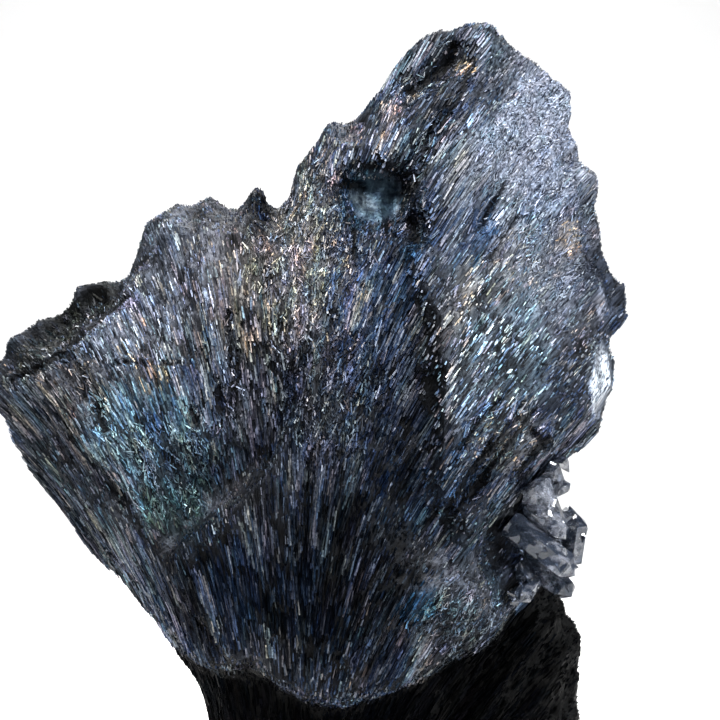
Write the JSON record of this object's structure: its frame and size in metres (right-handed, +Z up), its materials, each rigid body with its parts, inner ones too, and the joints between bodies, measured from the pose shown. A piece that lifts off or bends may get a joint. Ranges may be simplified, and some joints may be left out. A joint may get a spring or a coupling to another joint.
{
  "type": "berthierite specimen",
  "caption": "Fan-shaped specimen of grown-together metallic needles with a small crust of grey quartz, standing on a flat broken foot.",
  "frame": {"origin": "middle of the specimen's box, on the surface that it stands on", "axes": "+Z up along its height, -Y the way its best face looks, +X to the right of that face"},
  "size_m": [0.0924, 0.0462, 0.1132],
  "materials": {
    "berthierite": "satin",
    "quartz": "gloss"
  },
  "bodies": {
    "root": {"berthierite_fan": "berthierite", "quartz_crust": "quartz"}
  },
  "joints": []
}
